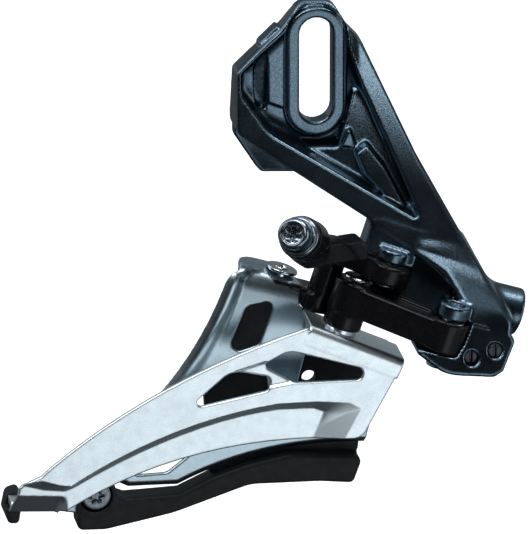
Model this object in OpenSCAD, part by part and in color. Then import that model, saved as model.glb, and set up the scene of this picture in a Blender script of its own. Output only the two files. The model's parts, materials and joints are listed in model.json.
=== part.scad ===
// Side-swing front derailleur for a double crankset, with a slotted direct-mount bracket.
// Axes: +X bicycle forward, +Y towards the bicycle's left side, +Z up.
// Origin: centre of the mounting slot, on the flat rear face that bears on the frame.

/* [Mounting bracket] */
// Width of the mounting slot (6 mm bolt with clearance)
slot_w = 7.0; // [6.6:0.1:7.4]
// Length of the mounting slot from end to end
slot_l = 23; // [20:0.5:24]
// Thickness of the plate around the slot
plate_t = 3; // [2.5:0.1:3.5]
// How far the pad around the slot stands proud of the rear face
pad_t = 4.4; // [4:0.1:5]
// Depth of the two beams
beam_t = 8.5; // [7:0.5:9]
// Radius of the cable casing socket (5 mm casing end)
casing_r = 2.6; // [2.5:0.05:2.8]

/* [Linkage] */
// Backward lean of the four pivot pins
lean = 18; // [17:0.5:19]
// Radius of the two bracket pins
pin_r = 2.0; // [1.8:0.1:2.1]
// Radius of the two cage pins
cage_pin_r = 1.7; // [1.5:0.1:1.8]
// Wall of the plain bushes
bush_t = 0.7; // [0.5:0.1:0.8]
// Radial running clearance of every pin
run = 0.04; // [0.02:0.01:0.08]

/* [Cage] */
// Thickness of both cage plates
sheet_t = 1.2; // [1:0.1:1.4]
// Outer face of the outer cage plate, measured out from the rear face of the bracket
outer_out = 27; // [26.5:0.1:27.2]
// Outer face of the inner cage plate
inner_out = 16.4; // [16.2:0.1:16.6]
// Thickness of the panel of the plastic skid plate
skid_t = 3; // [2:0.2:3.6]

/* [Hidden] */
$fn = 48;

// Linkage coordinates: u forward and down, v towards the left side, h up the pins.
pivot_h = -40.8;
outer_front = [36.7, -32.3];
link = [-19.0, 10.3];
outer_rear = outer_front + link;
inner_front = [23.6, -21.6];
inner_rear = inner_front + link;
gap = 0.3;
yoke_out = 37.6;
hub_r = 4.2;

// Heights along the pins, from the plane of the linkage
outer_link_low = -3.0;
outer_link_high = 3.8;
ear_low = -3.3;
ear_high = 4.1;
hub_low = 5.3;
hub_high = 9.4;
arm_ear = 9.7;
inner_ear_low = -10.0;
inner_ear_high = -2.7;
flange_low = -2.4;
flange_high = -1.2;

bush_r = pin_r + run + bush_t;
cage_bush_r = cage_pin_r + run + bush_t;

// Front plane of the two beams: distance out from the rear face, fall and turn
beam_out = 9.2;
web_back = 5.2;
beam_fall = 17.8;
beam_turn = 9.5;

// Axis of the cable bolt
bolt_at = [-6.4, -27.6, -29.0];
bolt_tilt = [0, 63.3, -116.6];

// Limit screws, in world X and Z
low_screw = [27.3, -54.4];
high_screw = [32.4, -53.4];
screw_r = 1.5;
screw_tip = 32.6;
screw_head = 35.8;

// Casing socket, in linkage coordinates
casing_v = -24;
casing_h = 6.3;
casing_end = 52.6;
casing_depth = 8;

// Slope of the top edge of the outer plate
flange_slope = 24.6;
flange_start = [-4.9, -48.3];
tail_screw = [-49.2, -86.7];
front_rivets = [[-2.6, -53.0], [2.0, -55.1]];
tail_rivet_at = [-61.0, -84.9];
rivet_r = 1.2;
tail_rivet_r = 0.9;

function unit(v) = v / norm(v);
function flat(p) = [p[0], p[1]];
function radius_of(p) = len(p) > 2 ? p[2] : 0;
function wrap(a) = a > 180 ? a - 360 : (a < -180 ? a + 360 : a);

// Turns the corner at b, between a and c, into an arc of the radius given as b's third value
function corner(a, b, c, n = 6) =
    radius_of(b) == 0 ? [flat(b)] :
    let (s = unit(flat(a) - flat(b)),
        e = unit(flat(c) - flat(b)),
        half = acos(s * e) / 2,
        o = flat(b) + unit(s + e) * (b[2] / sin(half)),
        first = flat(b) + s * (b[2] / tan(half)) - o,
        last = flat(b) + e * (b[2] / tan(half)) - o,
        from = atan2(first[1], first[0]),
        turn = wrap(atan2(last[1], last[0]) - from))
    [for (i = [0:n]) o + b[2] * [cos(from + turn * i / n), sin(from + turn * i / n)]];

function outline(p) = [for (i = [0:len(p) - 1])
    each corner(p[(i + len(p) - 1) % len(p)], p[i], p[(i + 1) % len(p)])];

// Smooth bend from a to c that leaves a towards b
function bend(a, b, c, n = 8) = [for (i = [0:n]) let (t = i / n)
    (1 - t) * (1 - t) * a + 2 * t * (1 - t) * b + t * t * c];

// A shape drawn in X and Z, solid from y_low to y_high
module upright(y_low, y_high) {
    translate([0, y_high, 0]) rotate([90, 0, 0]) linear_extrude(y_high - y_low) children();
}

// Places children in linkage coordinates
module in_linkage() {
    rotate([0, lean, 0]) translate([0, 0, pivot_h]) children();
}

module post(at, low, high, r) {
    translate([at[0], at[1], low]) cylinder(h = high - low, r = r);
}

// Flat bar with round ends between two points
module bar(a, b, r, low, high) {
    way = b - a;
    translate([0, 0, low]) linear_extrude(high - low) {
        translate(a) circle(r);
        translate(b) circle(r);
        translate(a) rotate(atan2(way[1], way[0])) translate([0, -r]) square([norm(way), 2 * r]);
    }
}

// Hole along Y at a point in X and Z
module drilled(at, r) {
    translate([at[0], 0, at[1]]) rotate([90, 0, 0]) cylinder(h = 20, r = r);
}

module tube(at, low, high, r_out, r_in) {
    difference() {
        post(at, low, high, r_out);
        post(at, low - 1, high + 1, r_in);
    }
}

// Everything between two planes parallel to the beams' front, never behind the rear face
module beam_slab(behind, thick) {
    intersection() {
        translate([0, -beam_out, 0]) rotate([-beam_fall, 0, -beam_turn])
            translate([-60, behind, -90]) cube([120, thick, 140]);
        translate([-60, -60, -90]) cube([120, 60, 140]);
    }
}

module slot_shape(w, l) {
    translate([0, (l - w) / 2]) circle(w / 2);
    translate([0, -(l - w) / 2]) circle(w / 2);
    square([w, l - w], center = true);
}

// Outline of the whole bracket, less the yoke
crown = [[9.6, 6.2, 3], [6.9, 9.0, 2], [3.6, 14.6, 3.5], [-3.2, 14.8, 3], [-7.6, 9.5], [-8.2, 10.0],
    [-12.0, 6.4], [-12.0, 5.7]];
bracket_edge = outline(concat(crown, [
    [-17.2, 0.9, 1.5], [-17.9, -11.2, 2], [-8.2, -17.7], [17.0, -33.9, 8], [25.3, -42.2, 4],
    [31.0, -47.0], [34.5, -45.0], [29.5, -35.0], [19.6, -16.4, 30]]));

// Hollow between the beams and inside the rim
pocket_edge = outline([
    [-16.2, 0.6, 1], [-16.4, -3.4, 4], [-11.0, -11.2, 8], [19.5, -28.9, 0.8], [8.5, -1.5, 20],
    [5.6, 9.4, 2], [2.8, 13.2, 3], [-2.6, 13.2, 3]]);

plate_edge = outline(concat(crown, [
    [-17.2, 0.9, 1.5], [-17.2, -13.6, 1], [-12.6, -20.9, 2], [-11.4, -22.3, 1], [4.0, -23.2, 3],
    [14.0, -12.0, 3]]));

// Yoke that holds the pins: seen from the side, in u and h
yoke_edge = outline([
    [31.0, -2.9], [31.0, -4.3, 1], [38.2, -7.1, 8], [48.6, -5.2, 2], [50.3, -3.6, 1],
    [51.4, 2.6, 0.8], [50.0, 4.0, 0.6], [49.8, 6.0, 2], [42.9, 12.8], [38.0, 17.5], [28.0, 15.0],
    [22.0, 15.0], [22.0, 9.7], [28.8, 9.7, 1.5], [33.4, 4.1]]);

// Yoke seen from the front, in v and h
yoke_side = outline([
    [-22.0, 19.0], [-27.5, 13.0, 3], [-yoke_out, 6.5, 3], [-yoke_out, -7.5], [-27.5, -7.5],
    [-27.5, -1.0, 1], [-19.0, 2.0, 2], [-16.5, 10.0], [-15.0, 19.0]]);

module yoke() {
    in_linkage() intersection() {
        translate([0, -10, 0]) rotate([90, 0, 0]) linear_extrude(40) polygon(yoke_edge);
        translate([12, 0, 0]) rotate([90, 0, 90]) linear_extrude(48) polygon(yoke_side);
    }
}

// Room for the outer link and its heel to swing between the ears
module link_room() {
    in_linkage() {
        translate([20, -50, ear_low]) cube([19, 45, ear_high - ear_low]);
        post(outer_front, ear_low, ear_high, hub_r + gap);
        intersection() {
            post(outer_front, ear_low, ear_high, 8.3);
            translate([30, -33.2, ear_low]) cube([20, 20, ear_high - ear_low]);
        }
    }
}

module mount_bracket() {
    color("#2b3038") difference() {
        union() {
            upright(-plate_t, 0) polygon(plate_edge);
            upright(-pad_t, 0) slot_shape(12.3, 28.9);
            intersection() {
                upright(-45, 0) difference() {
                    polygon(bracket_edge);
                    polygon(pocket_edge);
                }
                beam_slab(0, beam_t);
            }
            intersection() {
                upright(-45, 0) polygon(bracket_edge);
                beam_slab(web_back, beam_t - web_back);
                upright(-50, 0) polygon([[-20, -16], [4, -16], [8, -5], [30, -5], [30, -50], [-20, -50]]);
            }
            yoke();
            in_linkage() {
                post(inner_front, arm_ear, 17.5, 4.9);
                translate([17.2, -24.4, arm_ear]) cube([6.4, 9.4, 7.0]);
                post(outer_front, ear_high, 8.6, 4.9);
                translate([38.5, casing_v, casing_h]) rotate([0, 90, 0])
                    cylinder(h = casing_end - 38.5, r = 5);
            }
        }
        upright(-12, 1) slot_shape(slot_w, slot_l);
        link_room();
        in_linkage() {
            post(outer_front, -12, 8.0, pin_r);
            post(inner_front, 5, 16.5, pin_r);
            translate([25, casing_v, casing_h]) rotate([0, 90, 0]) cylinder(h = 40, r = 1.3);
            translate([casing_end - casing_depth, casing_v, casing_h]) rotate([0, 90, 0])
                cylinder(h = 20, r = casing_r);
        }
        for (s = [low_screw, high_screw]) translate([s[0], -30, s[1]]) rotate([90, 0, 0]) {
            cylinder(h = 20, r = screw_r + run);
            translate([0, 0, screw_head - 30]) cylinder(h = 20, r = 2.4);
        }
    }
}

module outer_link_pin() {
    color("silver") in_linkage() {
        post(outer_front, -7.0, 8.0, pin_r);
    }
}

module inner_link_pin() {
    color("silver") in_linkage() {
        post(inner_front, hub_low - 0.2, 16.5, pin_r);
        post(inner_front, 4.2, hub_low - 0.2, 2.6);
    }
}

// Torsion spring round the outer link's front pin
spring_wire = 0.45;
spring_r = pin_r + run + spring_wire + 0.25;
spring_turns = 2.2;
spring_steps = 20;
spring_low = 1.05;
spring_pitch = 2 * spring_wire + 0.1;
function spring_ring(i) = let (a = 360 * i / spring_steps, m = 6)
    [for (k = [0:m - 1]) let (b = 360 * k / m, r = spring_r + spring_wire * cos(b))
        [r * cos(a), r * sin(a), spring_pitch * i / spring_steps + spring_wire * sin(b)]];

module return_spring() {
    n = floor(spring_turns * spring_steps);
    m = 6;
    points = [for (i = [0:n]) each spring_ring(i)];
    sides = [for (i = [0:n - 1]) for (k = [0:m - 1]) let (l = (k + 1) % m)
        each [[i * m + k, i * m + l, (i + 1) * m + l], [i * m + k, (i + 1) * m + l, (i + 1) * m + k]]];
    ends = [[for (k = [0:m - 1]) m - 1 - k], [for (k = [0:m - 1]) n * m + k]];
    color("silver") in_linkage() translate([outer_front[0], outer_front[1], spring_low + spring_wire])
        polyhedron(points = points, faces = concat(sides, ends));
}

// Slotted cap screw that points along +Y, its tip at y = 0
module limit_screw(long) {
    difference() {
        union() {
            rotate([90, 0, 0]) cylinder(h = long, r = screw_r);
            translate([0, -long, 0]) rotate([90, 0, 0]) cylinder(h = 1.4, r = 2.2);
        }
        translate([-0.3, -long - 2, -2]) cube([0.6, 1.4, 4]);
    }
}

module low_limit_screw() {
    color("dimgray") translate([low_screw[0], -screw_tip, low_screw[1]])
        limit_screw(screw_head - screw_tip);
}

module high_limit_screw() {
    color("dimgray") translate([high_screw[0], -screw_tip, high_screw[1]])
        limit_screw(screw_head - screw_tip);
}

module outer_link() {
    color("#111111") in_linkage() difference() {
        union() {
            bar(outer_front, outer_rear, hub_r, outer_link_low, outer_link_high);
            translate([outer_front[0], outer_front[1], outer_link_low]) rotate(25)
                translate([0, -1.9, 0]) cube([7.6, 3.8, 4.0]);
        }
        post(outer_front, -9, 1.0, bush_r);
        post(outer_front, 0.9, 9, 3.7);
        post(outer_rear, -9, 9, cage_bush_r);
    }
}

module outer_link_front_bush() {
    color("goldenrod") in_linkage() tube(outer_front, outer_link_low, 0.95, bush_r, pin_r + run);
}

module outer_link_rear_bush() {
    color("goldenrod") in_linkage()
        tube(outer_rear, outer_link_low, outer_link_high, cage_bush_r, cage_pin_r + run);
}

// Step of the inner link, where it drops to its rear pivot
drop = [13.0, -15.8];
knee_low = -6.2;
knee_edge = outline([
    [7.0, -14.5], [9.4, -14.8, 0.8], [9.8, -19.0, 2], [15.4, -17.6, 2], [16.2, -13.0, 2.5],
    [12.6, -8.4, 3], [7.0, -8.4]]);
ear_edge = outline([[1.3, -14.4, 3], [9.0, -14.6, 0.8], [9.0, -8.8, 0.8], [1.1, -8.1, 3]]);
bolt_place = [2.9, -27.6];

module bolt_frame() {
    translate(bolt_at) rotate(bolt_tilt) children();
}

// Cable arm seen from the side, x measured back from the front pivot
arm_edge = outline([
    [0, 5.6], [19, 5.6, 3], [24, 7.6, 3], [24.5, 14.5, 2], [14, 15.4, 3], [9.2, 9.1, 2], [0, 9.1]]);

module inner_link() {
    arm = bolt_place - inner_front;
    color("#111111") difference() {
        union() {
            in_linkage() {
                post(inner_front, hub_low, hub_high, 4.9);
                bar(inner_front, drop, 3.4, hub_low, hub_high);
                post(drop, knee_low, hub_high, 3.0);
                translate([0, 0, inner_ear_low]) linear_extrude(inner_ear_high - inner_ear_low)
                    polygon(ear_edge);
                translate([0, 0, knee_low]) linear_extrude(inner_ear_high - knee_low)
                    polygon(knee_edge);
                translate([inner_front[0], inner_front[1], 0])
                    rotate([90, 0, atan2(arm[1], arm[0])])
                    translate([0, 0, -2.8]) linear_extrude(5.6) polygon(arm_edge);
            }
            bolt_frame() translate([0, 0, -3]) cylinder(h = 7.5, r = 4.6);
        }
        in_linkage() {
            post(inner_front, 0, hub_high + 6, bush_r);
            post(inner_rear, -12, 3, cage_bush_r);
        }
        bolt_frame() translate([0, 0, -3.2]) cylinder(h = 20, r = 2.5);
    }
}

module inner_link_front_bush() {
    color("goldenrod") in_linkage() tube(inner_front, hub_low, hub_high, bush_r, pin_r + run);
}

module inner_link_rear_bush() {
    color("goldenrod") in_linkage()
        tube(inner_rear, inner_ear_low, inner_ear_high, cage_bush_r, cage_pin_r + run);
}

module cable_washer() {
    color("gray") bolt_frame() difference() {
        union() {
            translate([0, 0, 4.5]) cylinder(h = 1.7, r = 4.3);
            translate([0, 0, 6.2]) cylinder(h = 0.7, r = 3.9);
        }
        cylinder(h = 20, r = 2.55);
    }
}

module cable_bolt() {
    color("gray") bolt_frame() difference() {
        union() {
            translate([0, 0, -3.2]) cylinder(h = 11, r = 2.5);
            translate([0, 0, 6.9]) cylinder(h = 3.9, r = 3.4);
        }
        translate([0, 0, 8.3]) cylinder(h = 5, r = 2.3, $fn = 6);
    }
}

// Point in the sheet of the top flange, d along it and t below its upper face
function on_flange(d, t) = flange_start
    + d * [cos(flange_slope), -sin(flange_slope)] - t * [sin(flange_slope), cos(flange_slope)];

outer_edge = concat(
    [[-68.0, -86.4], [-66.6, -81.0], [-64.8, -79.4], [-62.0, -78.2]],
    bend([-60.5, -76.8], [-37.8, -58.2], [-5.6, -48.8]),
    [on_flange(0.6, 0.6), on_flange(21.4, 0.6)],
    corner(on_flange(21.4, 0.6), [5.8, -74.2, 3], [-4.3, -74.0]),
    bend([-4.3, -73.9], [-34.0, -73.0], [-57.5, -87.3]));

window_front = outline([
    [-15.6, -56.6, 1], [-9.6, -53.6, 4], [6.6, -58.8, 1.3], [5.4, -61.0, 1], [-8.6, -60.8, 3]]);
window_rear = outline([
    [-31.4, -65.4, 0.9], [-22.0, -57.4, 4], [-13.4, -59.4, 1.2], [-14.0, -62.2, 1]]);

// Strip of sheet folded back from the outer plate's top edge, cut square to the pins at its hole
module top_flange(y_low, y_high, long) {
    translate([flange_start[0], 0, flange_start[1]]) rotate([0, flange_slope, 0])
        translate([0, y_low, -sheet_t]) cube([long, y_high - y_low, sheet_t]);
}

module outer_cage_plate() {
    color("#c9ced2") difference() {
        union() {
            upright(-outer_out, -outer_out + sheet_t) difference() {
                polygon(outer_edge);
                polygon(window_front);
                polygon(window_rear);
            }
            top_flange(-outer_out, -inner_out, 22);
            upright(-inner_out - sheet_t, -inner_out)
                polygon([on_flange(0.8, 0.5), on_flange(9.5, 0.5), [4.4, -57.4], [-4.8, -56.4]]);
            upright(-outer_out, -inner_out)
                polygon([[-67.6, -85.8], [-58.2, -86.6], [-58.2, -88.2], [-67.6, -87.4]]);
            upright(-inner_out - sheet_t, -inner_out)
                polygon([[-65.6, -87.0], [-58.2, -87.6], [-57.6, -83.2], [-62.6, -83.6], [-64.6, -85.4]]);
        }
        in_linkage() post(outer_rear, -20, 5, cage_pin_r);
        for (p = front_rivets) drilled(p, rivet_r);
        drilled(tail_rivet_at, tail_rivet_r);
    }
}

inner_edge = concat(
    [[-65.8, -88.6], [-65.2, -85.6], [-62.6, -83.6], [-57.0, -80.6]],
    bend([-48.0, -76.6], [-28.5, -62.5], [-20.6, -38.7]),
    [[-18.3, -37.4], [-15.7, -36.0], [-13.2, -36.4], [-5.0, -44.0], [-5.4, -47.8], on_flange(0.8, 0.2),
        on_flange(20.2, 0.2), [9.4, -75.2]],
    bend([8.4, -79.2], [-14.0, -77.6], [-31.4, -86.2]),
    [[-42.0, -86.0], [-45.5, -84.2], [-45.5, -91.0], [-53.0, -91.0]]);

inner_window = outline([
    [-20.4, -55.9, 1.5], [-16.6, -47.4, 2], [-10.6, -46.6, 1.2], [-14.2, -56.0, 1.5], [-18.4, -57.2, 1]]);
rear_opening = outline([
    [-30.2, -69.8, 2], [-21.0, -60.6, 3], [-12.8, -60.2, 2], [-12.0, -68.2, 2], [-20.0, -71.2, 3]]);
front_opening = outline([
    [-4.0, -57.6, 1], [9.6, -60.0, 2], [7.4, -67.6, 2], [-6.6, -67.2, 1.5]]);
oval_hole = outline([
    [-41.2, -82.6, 0.8], [-31.4, -77.6, 1.6], [-28.4, -78.8, 1], [-33.4, -82.8, 1.5]]);

module inner_flange_shape() {
    bar([0.4, inner_rear[1]], inner_rear, 4.6, flange_low, flange_high);
    translate([-4.2, -inner_out, flange_low]) cube([11.6, 5.4, flange_high - flange_low]);
}

module inner_sheet() {
    upright(-inner_out, -inner_out + sheet_t) difference() {
        polygon(inner_edge);
        polygon(inner_window);
        polygon(rear_opening);
        polygon(front_opening);
        polygon(oval_hole);
    }
}

module inner_cage_plate() {
    color("#b9c0c4") difference() {
        union() {
            difference() {
                inner_sheet();
                in_linkage() translate([-12, -20, flange_high]) cube([30, 10, 20]);
                in_linkage() translate([9.0, -20, -9.2]) cube([20, 10, 20]);
            }
            in_linkage() inner_flange_shape();
        }
        in_linkage() post(inner_rear, -20, 5, cage_pin_r);
        for (p = front_rivets) drilled(p, rivet_r);
        drilled(tail_rivet_at, tail_rivet_r);
        drilled(tail_screw, 1.5);
    }
}

module outer_cage_pin() {
    color("silver") in_linkage() {
        post(outer_rear, -8.9, 4.1, cage_pin_r);
        post(outer_rear, 4.1, 4.9, 2.8);
    }
}

module outer_pin_spacer() {
    color("silver") difference() {
        in_linkage() tube(outer_rear, -9, outer_link_low - gap, 3.5, cage_pin_r);
        translate([flange_start[0], 0, flange_start[1]]) rotate([0, flange_slope, 0])
            translate([-10, -40, -20]) cube([50, 40, 20]);
    }
}

module inner_cage_pin() {
    color("silver") in_linkage() {
        post(inner_rear, inner_ear_low - 1.3, -0.2, cage_pin_r);
        post(inner_rear, inner_ear_low - 1.3, inner_ear_low - gap, 2.8);
    }
}

module inner_pin_washer() {
    color("silver") in_linkage() tube(inner_rear, flange_high, -0.4, 3.4, cage_pin_r);
}

// Rivet along Y through two sheets that meet at the inner plate's outer face
module rivet(at, r, head_r) {
    translate([at[0], -inner_out + sheet_t, at[1]]) rotate([90, 0, 0]) {
        cylinder(h = 2 * sheet_t, r = r);
        translate([0, 0, 2 * sheet_t]) cylinder(h = 0.7, r = head_r);
    }
}

module cage_rivets() {
    color("silver") for (p = front_rivets) rivet(p, rivet_r, 2.1);
}

module tail_rivet() {
    color("silver") rivet(tail_rivet_at, tail_rivet_r, 1.3);
}

skid_panel = outline([
    [-24.6, -84.0], [-25.6, -66.0, 3], [-21.4, -54.0, 2], [-19.4, -46.8, 1], [-15.6, -46.4, 0.8],
    [-15.2, -53.0, 1], [-6.6, -54.4, 2], [9.0, -59.4, 2], [7.2, -80.5], [5.0, -87.0, 2], [-1.6, -87.0], [-16.4, -86.5]]);
drain_hole = [-3.4, -64.2];
skid_bar = outline([
    [-53.2, -89.6, 0.8], [-53.2, -94.2, 1.4], [-47.1, -94.4, 8], [-32.6, -91.6, 30], [-16.4, -86.3, 10],
    [-1.6, -86.6, 20], [5.6, -87.4, 1.2], [7.8, -81.4, 1.5], [-8.0, -80.2], [-16.4, -81.8], [-23.6, -84.0],
    [-31.2, -87.0], [-42.6, -87.0], [-46.0, -85.4]]);

module skid_plate() {
    back = -inner_out + sheet_t;
    color("#16181a") difference() {
        union() {
            upright(back, back + skid_t) difference() {
                polygon(skid_panel);
                translate(drain_hole) circle(1.5);
            }
            upright(-18.4, back + skid_t) polygon(skid_bar);
            translate([tail_screw[0], back + skid_t, tail_screw[1]]) rotate([90, 0, 0])
                cylinder(h = 18.4 + back + skid_t, r = 4.5);
        }
        inner_sheet();
        translate([tail_screw[0], 0, tail_screw[1]]) rotate([90, 0, 0]) {
            cylinder(h = 30, r = 1.5);
            translate([0, 0, inner_out + 0.4]) cylinder(h = 10, r = 3.5);
        }
    }
}

module skid_plate_screw() {
    color("silver") translate([tail_screw[0], 0, tail_screw[1]]) rotate([90, 0, 0]) difference() {
        union() {
            translate([0, 0, inner_out - sheet_t - skid_t]) cylinder(h = skid_t + sheet_t + 0.4, r = 1.5);
            translate([0, 0, inner_out + 0.4]) cylinder(h = 1.7, r = 3.3);
        }
        translate([0, 0, inner_out + 1.0]) cylinder(h = 5, r = 1.4, $fn = 6);
    }
}

bumper_edge = outline([
    [-68.6, -89.4, 1.5], [-67.8, -85.6, 1.5], [-64.6, -84.6, 1], [-65.6, -91.6, 1], [-67.8, -91.4, 1]]);

module tail_bumper() {
    color("#16181a") difference() {
        upright(-19.4, -11.6) polygon(bumper_edge);
        inner_sheet();
        upright(-40, -inner_out) polygon([[-70, -87.8], [-50, -89.4], [-50, -70], [-70, -70]]);
    }
}

mount_bracket();
outer_link_pin();
inner_link_pin();
return_spring();
low_limit_screw();
high_limit_screw();
outer_link();
outer_link_front_bush();
outer_link_rear_bush();
inner_link();
inner_link_front_bush();
inner_link_rear_bush();
cable_bolt();
cable_washer();
outer_cage_plate();
inner_cage_plate();
outer_cage_pin();
outer_pin_spacer();
inner_cage_pin();
inner_pin_washer();
cage_rivets();
tail_rivet();
skid_plate();
skid_plate_screw();
tail_bumper();
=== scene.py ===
import json
import math

import bpy
import numpy as np
from mathutils import Matrix, Vector


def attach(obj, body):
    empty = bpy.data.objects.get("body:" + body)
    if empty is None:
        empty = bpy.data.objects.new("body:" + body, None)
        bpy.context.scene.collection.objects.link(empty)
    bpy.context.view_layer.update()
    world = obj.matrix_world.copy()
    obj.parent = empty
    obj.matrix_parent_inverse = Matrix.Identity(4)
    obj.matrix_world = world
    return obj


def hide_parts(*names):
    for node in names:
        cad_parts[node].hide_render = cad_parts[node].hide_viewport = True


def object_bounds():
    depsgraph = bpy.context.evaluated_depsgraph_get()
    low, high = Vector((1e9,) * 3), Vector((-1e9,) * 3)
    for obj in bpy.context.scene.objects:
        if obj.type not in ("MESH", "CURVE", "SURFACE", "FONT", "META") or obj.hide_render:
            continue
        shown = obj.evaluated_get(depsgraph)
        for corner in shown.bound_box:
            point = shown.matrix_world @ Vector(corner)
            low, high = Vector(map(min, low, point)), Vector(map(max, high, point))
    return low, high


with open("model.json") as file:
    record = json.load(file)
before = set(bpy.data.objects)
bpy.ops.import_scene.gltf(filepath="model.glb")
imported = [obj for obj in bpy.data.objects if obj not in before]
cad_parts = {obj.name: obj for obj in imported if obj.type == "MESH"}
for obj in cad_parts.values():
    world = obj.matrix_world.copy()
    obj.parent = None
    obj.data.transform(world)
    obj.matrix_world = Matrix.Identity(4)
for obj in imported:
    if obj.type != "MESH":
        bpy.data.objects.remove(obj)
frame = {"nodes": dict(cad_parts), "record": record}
cad_low, cad_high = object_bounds()

# Shapes are worked out in millimetres and made in metres.
MM = 0.001

# Camera: the whole object from slightly left of its front, 20 degrees above it
CAMERA_AZIMUTH, CAMERA_ELEVATION = -10, 20
LENS = 800
PIXELS_PER_MM, IMAGE_HEIGHT = 4.8, 534
LOOK_AT = Vector((-13.7, -20.0, -37.2)) * MM


def direction(azimuth, elevation):
    """The way from the object to something at an azimuth and an elevation."""
    a, e = math.radians(azimuth), math.radians(elevation)
    return Vector((math.sin(a) * math.cos(e), -math.cos(a) * math.cos(e), math.sin(e)))


def facing(back):
    """A rotation whose -Z looks against back."""
    return (-back).to_track_quat("-Z", "Y").to_euler()


def link(obj):
    bpy.context.scene.collection.objects.link(obj)
    return obj


def make_camera():
    data = bpy.data.cameras.new("camera")
    data.lens, data.sensor_width = LENS, 36
    camera = link(bpy.data.objects.new("camera", data))
    back = direction(CAMERA_AZIMUTH, CAMERA_ELEVATION)
    away = LENS / data.sensor_width * IMAGE_HEIGHT / PIXELS_PER_MM * MM
    camera.location = LOOK_AT + back * away
    camera.rotation_euler = facing(back)
    bpy.context.scene.camera = camera


def make_light(name, azimuth, elevation, away, size, power):
    """A square soft box that shines at the object and isn't seen by the camera."""
    data = bpy.data.lights.new(name, "AREA")
    data.shape, data.size, data.energy = "SQUARE", size, power
    lamp = link(bpy.data.objects.new(name, data))
    back = direction(azimuth, elevation)
    lamp.location = LOOK_AT + back * away
    lamp.rotation_euler = facing(back)
    lamp.visible_camera = False


# ---------------------------------------------------------------- materials


class Paint:
    """A material of one Principled shader and the nodes that vary it."""

    def __init__(self, name, color, roughness, metallic=0.0, **sockets):
        self.material = bpy.data.materials.new(name)
        self.material.use_nodes = True
        self.nodes = self.material.node_tree.nodes
        self.links = self.material.node_tree.links
        self.shader = self.nodes["Principled BSDF"]
        self.color = color
        self.set("Base Color", (*color, 1))
        self.set("Roughness", roughness)
        self.set("Metallic", metallic)
        for socket, value in sockets.items():
            self.set(socket.replace("_", " "), value)
        self.place = self.nodes.new("ShaderNodeTexCoord").outputs["Object"]

    def set(self, socket, value):
        self.shader.inputs[socket].default_value = value

    def noise(self, scale, detail=2.0):
        """Noise with details of about 1 / scale metres."""
        node = self.nodes.new("ShaderNodeTexNoise")
        node.inputs["Scale"].default_value = scale
        node.inputs["Detail"].default_value = detail
        self.links.new(self.place, node.inputs["Vector"])
        return node.outputs["Fac"]

    def ramp(self, value, low, high):
        """Maps the middle of a noise's range to low and high."""
        node = self.nodes.new("ShaderNodeMapRange")
        for socket, number in (("From Min", 0.3), ("From Max", 0.7), ("To Min", low), ("To Max", high)):
            node.inputs[socket].default_value = number
        self.links.new(value, node.inputs["Value"])
        return node.outputs["Result"]

    def tint(self, value, dark, light):
        """Varies the base colour between its dark and light multiples."""
        node = self.nodes.new("ShaderNodeMix")
        node.data_type = "RGBA"
        node.inputs["A"].default_value = (*(c * dark for c in self.color), 1)
        node.inputs["B"].default_value = (*(c * light for c in self.color), 1)
        self.links.new(self.ramp(value, 0, 1), node.inputs["Factor"])
        self.links.new(node.outputs["Result"], self.shader.inputs["Base Color"])

    def vary(self, socket, value, low, high):
        self.links.new(self.ramp(value, low, high), self.shader.inputs[socket])

    def bump(self, value, depth, strength):
        """A bump of that depth in metres."""
        node = self.nodes.new("ShaderNodeBump")
        node.inputs["Strength"].default_value = strength
        node.inputs["Distance"].default_value = depth
        self.links.new(value, node.inputs["Height"])
        self.links.new(node.outputs["Normal"], self.shader.inputs["Normal"])


def metallic_paint():
    p = Paint("bracket_paint", (0.092, 0.135, 0.172), 0.24, 1.0)
    flakes = p.noise(3600, 3)
    p.tint(flakes, 0.65, 1.5)
    p.vary("Roughness", p.noise(240, 3), 0.22, 0.27)
    p.bump(flakes, 0.00004, 0.5)
    return p.material


def gloss_black():
    p = Paint("link_paint", (0.004, 0.004, 0.005), 0.16, 0.0, Specular_IOR_Level=0.16)
    p.tint(p.noise(900, 2), 0.8, 1.2)
    p.vary("Roughness", p.noise(350, 4), 0.15, 0.20)
    p.bump(p.noise(2400, 2), 0.000003, 0.3)
    return p.material


def plated_steel():
    p = Paint("pin_steel", (0.60, 0.63, 0.67), 0.14, 1.0)
    p.tint(p.noise(700, 3), 0.82, 1.06)
    p.vary("Roughness", p.noise(1600, 3), 0.10, 0.24)
    p.bump(p.noise(2500, 2), 0.000008, 0.3)
    return p.material


def drawn_wire():
    p = Paint("spring_steel", (0.42, 0.43, 0.45), 0.3, 1.0)
    p.tint(p.noise(1500, 3), 0.8, 1.1)
    p.vary("Roughness", p.noise(2500, 2), 0.25, 0.4)
    return p.material


def black_plating():
    p = Paint("screw_steel", (0.035, 0.038, 0.044), 0.34, 0.8)
    p.tint(p.noise(1800, 3), 0.7, 1.5)
    p.vary("Roughness", p.noise(900, 3), 0.28, 0.42)
    p.bump(p.noise(2600, 2), 0.00001, 0.3)
    return p.material


def bronze():
    p = Paint("bush_bronze", (0.45, 0.30, 0.14), 0.35, 1.0)
    p.tint(p.noise(1500, 3), 0.8, 1.15)
    p.vary("Roughness", p.noise(900, 2), 0.3, 0.45)
    return p.material


def dark_steel():
    p = Paint("bolt_steel", (0.24, 0.28, 0.33), 0.17, 1.0)
    p.tint(p.noise(600, 4), 0.75, 1.2)
    p.vary("Roughness", p.noise(1300, 4), 0.13, 0.27)
    p.bump(p.noise(1500, 3), 0.00001, 0.3)
    return p.material


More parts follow.
